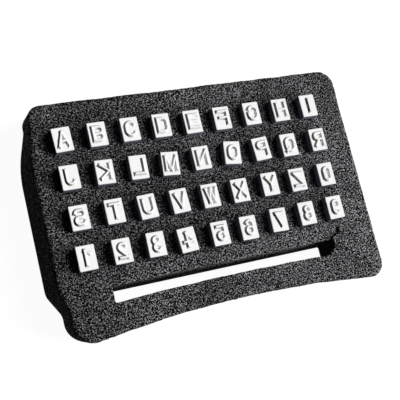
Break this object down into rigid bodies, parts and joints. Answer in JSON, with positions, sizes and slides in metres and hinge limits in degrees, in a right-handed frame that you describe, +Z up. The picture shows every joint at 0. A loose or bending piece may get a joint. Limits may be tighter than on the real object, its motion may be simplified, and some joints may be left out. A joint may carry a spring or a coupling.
{
  "type": "steel letter punch set",
  "caption": "Steel letter and figure punches with raised mirror-image characters, standing in rows in the pockets of a black foam holder block with a slot for their handle.",
  "frame": {"origin": "on the resting plane, under the middle of the holder's overall length and width", "axes": "+Z up through the punches' faces, +X along the rows of punches, +Y towards the row that starts with A"},
  "size_m": [0.13, 0.0867, 0.0188],
  "materials": {
    "foam": "matt closed-cell foam with an open cut skin",
    "punch_steel": "ground bright on the face"
  },
  "bodies": {
    "root": {"holder": "foam", "punch_a": "punch_steel", "punch_b": "punch_steel", "punch_c": "punch_steel", "punch_d": "punch_steel", "punch_e": "punch_steel", "punch_f": "punch_steel", "punch_g": "punch_steel", "punch_h": "punch_steel", "punch_i": "punch_steel", "punch_j": "punch_steel", "punch_k": "punch_steel", "punch_l": "punch_steel", "punch_m": "punch_steel", "punch_n": "punch_steel", "punch_o": "punch_steel", "punch_p": "punch_steel", "punch_q": "punch_steel", "punch_r": "punch_steel", "punch_s": "punch_steel", "punch_t": "punch_steel", "punch_u": "punch_steel", "punch_v": "punch_steel", "punch_w": "punch_steel", "punch_x": "punch_steel", "punch_y": "punch_steel", "punch_z": "punch_steel", "punch_0": "punch_steel", "punch_1": "punch_steel", "punch_2": "punch_steel", "punch_3": "punch_steel", "punch_4": "punch_steel", "punch_5": "punch_steel", "punch_6": "punch_steel", "punch_7": "punch_steel", "punch_8": "punch_steel", "punch_9": "punch_steel"}
  },
  "joints": []
}
